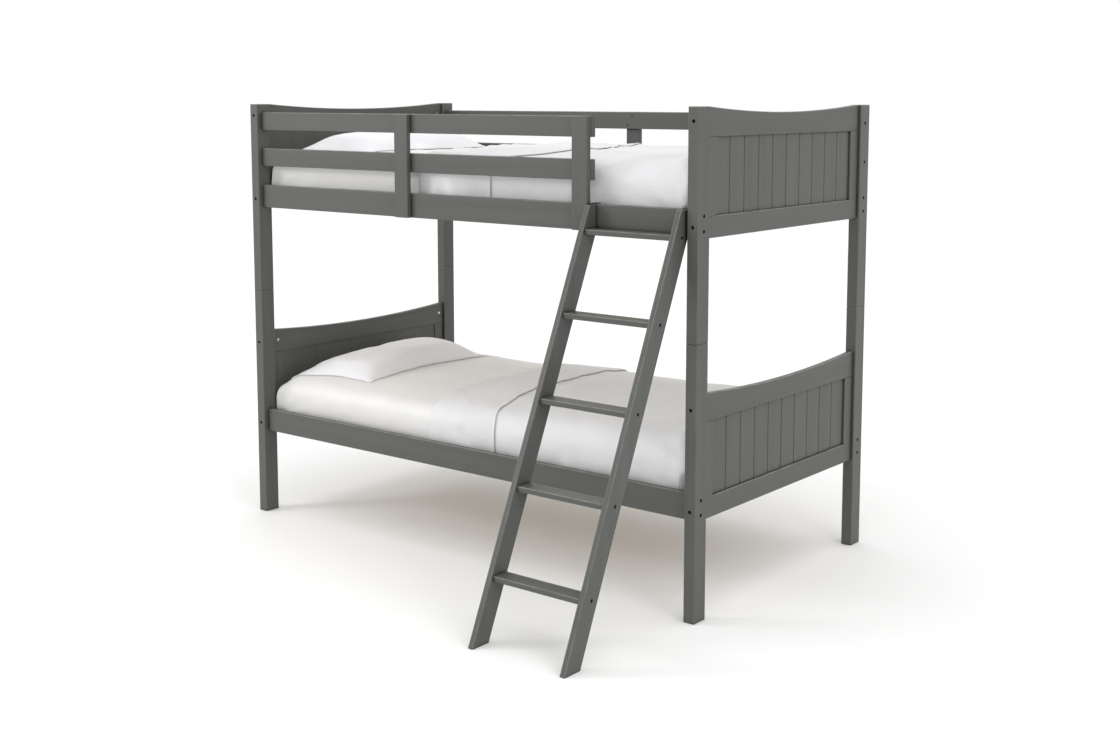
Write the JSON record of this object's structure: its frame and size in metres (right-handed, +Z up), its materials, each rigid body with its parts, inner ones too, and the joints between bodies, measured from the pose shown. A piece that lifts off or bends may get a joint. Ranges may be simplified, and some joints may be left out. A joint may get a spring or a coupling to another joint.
{
  "type": "bunk bed",
  "caption": "Twin-over-twin bunk bed in grey painted wood with dipped beadboard end panels, upper guard rails, a leaning ladder and made-up white beds.",
  "frame": {"origin": "on the floor under the centre of the box that holds the bed and its ladder", "axes": "+X along the bed from head to foot, +Y across the bed from the ladder side to the wall side, +Z up"},
  "size_m": [2.02, 1.652, 1.571],
  "materials": {
    "grey_paint": "satin warm-grey paint on solid wood",
    "pine": "plain sanded pine",
    "bolt_steel": "dark zinc-plated bolts and screws",
    "zinc_steel": "bright zinc-plated steel",
    "hook_steel": "black powder-coated steel strap",
    "fitted_sheet": "warm white cotton fitted sheet",
    "quilt_cover": "white cotton quilt cover",
    "pillowcase": "white cotton pillowcase"
  },
  "bodies": {
    "lower_bunk": {"lower_post_head_front": "grey_paint", "lower_post_head_rear": "grey_paint", "lower_post_foot_front": "grey_paint", "lower_post_foot_rear": "grey_paint", "lower_head_top_rail": "grey_paint", "lower_head_bottom_rail": "grey_paint", "lower_head_stiles": "grey_paint", "lower_head_beadboard": "grey_paint", "lower_foot_top_rail": "grey_paint", "lower_foot_bottom_rail": "grey_paint", "lower_foot_stiles": "grey_paint", "lower_foot_beadboard": "grey_paint", "lower_side_rail_front": "grey_paint", "lower_side_rail_rear": "grey_paint", "lower_ledgers": "pine", "lower_slats": "pine", "lower_bolts": "bolt_steel", "lower_barrel_nuts": "zinc_steel", "stacking_pins": "zinc_steel"},
    "upper_bunk": {"upper_post_head_front": "grey_paint", "upper_post_head_rear": "grey_paint", "upper_post_foot_front": "grey_paint", "upper_post_foot_rear": "grey_paint", "upper_head_top_rail": "grey_paint", "upper_head_bottom_rail": "grey_paint", "upper_head_stiles": "grey_paint", "upper_head_beadboard": "grey_paint", "upper_foot_top_rail": "grey_paint", "upper_foot_bottom_rail": "grey_paint", "upper_foot_stiles": "grey_paint", "upper_foot_beadboard": "grey_paint", "upper_side_rail_front": "grey_paint", "upper_side_rail_rear": "grey_paint", "upper_ledgers": "pine", "upper_slats": "pine", "front_guard_rail_low": "grey_paint", "front_guard_rail_top": "grey_paint", "rear_guard_rail_low": "grey_paint", "rear_guard_rail_top": "grey_paint", "front_upright_head": "grey_paint", "front_upright_entry": "grey_paint", "rear_upright": "grey_paint", "upper_bolts": "bolt_steel", "upper_barrel_nuts": "zinc_steel", "guard_screws": "bolt_steel"},
    "ladder": {"ladder_stringer_left": "grey_paint", "ladder_stringer_right": "grey_paint", "ladder_tread_1": "grey_paint", "ladder_tread_2": "grey_paint", "ladder_tread_3": "grey_paint", "ladder_tread_4": "grey_paint", "ladder_tread_5": "grey_paint", "ladder_bolts": "bolt_steel", "ladder_hooks": "hook_steel"},
    "lower_bed": {"lower_mattress": "fitted_sheet", "lower_quilt": "quilt_cover"},
    "lower_pillow_body": {"lower_pillow": "pillowcase"},
    "upper_bed": {"upper_mattress": "fitted_sheet", "upper_quilt": "quilt_cover"},
    "upper_pillow_body": {"upper_pillow": "pillowcase"}
  },
  "joints": [
    {"name": "upper_bunk_lift", "type": "slide", "parent": "lower_bunk", "child": "upper_bunk", "axis": [0, 0, 1], "range_m": [0, 0.1]},
    {"name": "ladder_lift", "type": "slide", "parent": "upper_bunk", "child": "ladder", "axis": [0, 0, 1], "range_m": [0, 0.08]},
    {"name": "lower_mattress_lift", "type": "slide", "parent": "lower_bunk", "child": "lower_bed", "axis": [0, 0, 1], "range_m": [0, 0.38]},
    {"name": "lower_pillow_lift", "type": "slide", "parent": "lower_bed", "child": "lower_pillow_body", "axis": [0, 0, 1], "range_m": [0, 0.12]},
    {"name": "upper_mattress_lift", "type": "slide", "parent": "upper_bunk", "child": "upper_bed", "axis": [0, 0, 1], "range_m": [0, 0.36]},
    {"name": "upper_pillow_lift", "type": "slide", "parent": "upper_bed", "child": "upper_pillow_body", "axis": [0, 0, 1], "range_m": [0, 0.12]}
  ]
}
